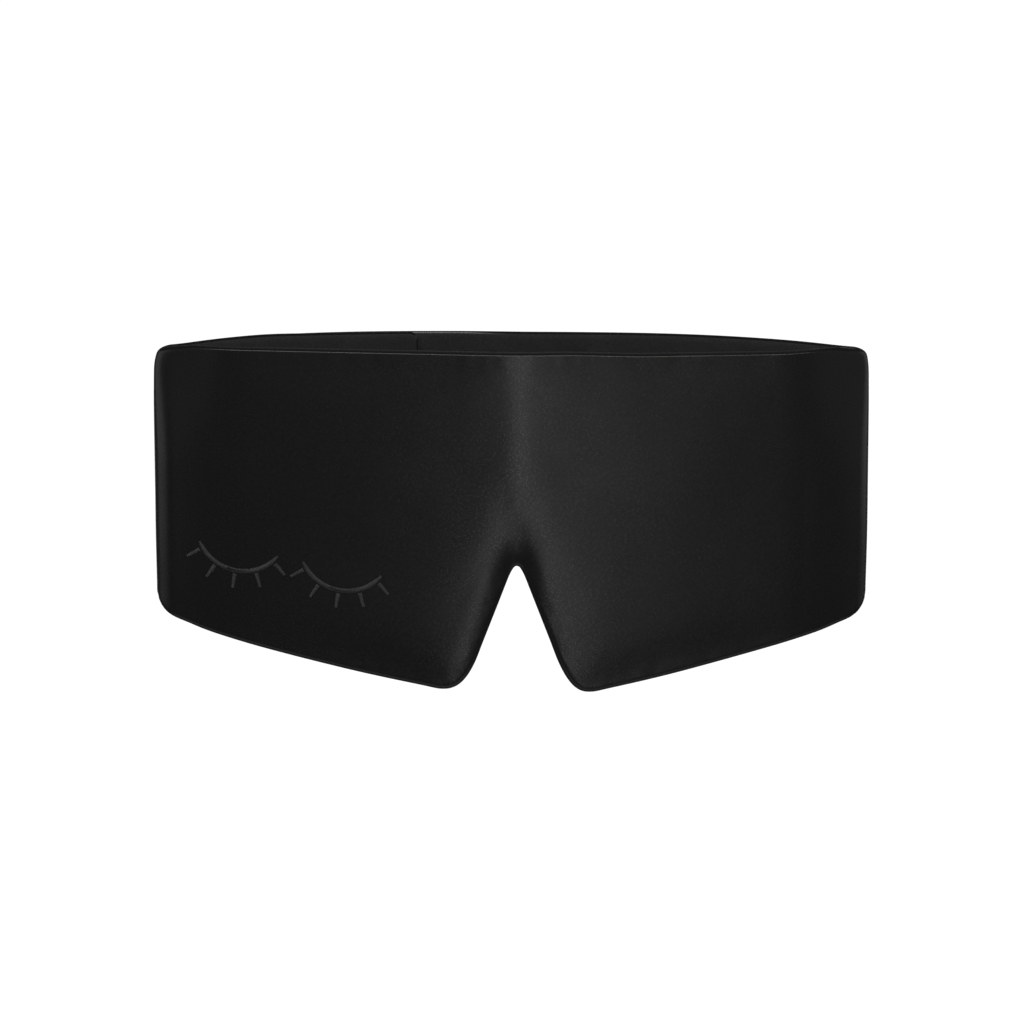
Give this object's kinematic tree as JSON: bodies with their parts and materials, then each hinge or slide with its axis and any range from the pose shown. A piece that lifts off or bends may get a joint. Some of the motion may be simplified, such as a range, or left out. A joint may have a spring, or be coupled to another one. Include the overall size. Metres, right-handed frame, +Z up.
{
  "type": "sleep eye mask",
  "caption": "Padded wrap-around blackout sleep mask with a nose notch; wings run back from the temples and close behind the head with a hook-and-loop tab.",
  "frame": {"origin": "middle of the loop that goes round the head, on the mirror plane, halfway up the temples", "axes": "+X along the width of the mask, -Y the way the wearer faces, +Z up"},
  "size_m": [0.265, 0.0533, 0.1265],
  "materials": {
    "satin": "satin",
    "lining": "matte",
    "foam": "matte",
    "film": "satin",
    "tape": "matte",
    "thread": "satin",
    "label": "satin"
  },
  "bodies": {
    "face_panel": {"face_outer_fabric": "satin", "blackout_interlining": "film", "face_padding": "foam", "face_lining": "lining", "right_temple_fold": "satin", "left_temple_fold": "satin", "left_embroidered_lid": "thread", "right_embroidered_lid": "thread"},
    "right_wing": {"right_wing_outer_fabric": "satin", "right_wing_padding": "foam", "right_wing_lining": "lining", "care_label": "label"},
    "closure_tab": {"tab_outer_fabric": "satin", "tab_lining": "lining", "hook_patch": "tape", "hook_patch_stitching": "thread"},
    "left_wing": {"left_wing_outer_fabric": "satin", "left_wing_padding": "foam", "left_wing_lining": "lining", "loop_patch": "tape", "loop_patch_stitching": "thread"}
  },
  "joints": [
    {"name": "right_wing_swing", "type": "hinge", "parent": "face_panel", "child": "right_wing", "pos_m": [0.126, -0.00585, 0], "axis": [0, 0, -1], "range_deg": [0, 130], "deforming": ["right_temple_fold"]},
    {"name": "left_wing_swing", "type": "hinge", "parent": "face_panel", "child": "left_wing", "pos_m": [-0.126, -0.00585, 0], "axis": [0, 0, 1], "range_deg": [0, 130], "deforming": ["left_temple_fold"]},
    {"name": "tab_peel", "type": "hinge", "parent": "right_wing", "child": "closure_tab", "pos_m": [-0.03, 0.02629, 0.0135], "axis": [0, 0, -1], "range_deg": [0, 120]}
  ],
  "couplings": [
    {"joint": "left_wing_swing", "follows": "right_wing_swing", "ratio": 1}
  ]
}
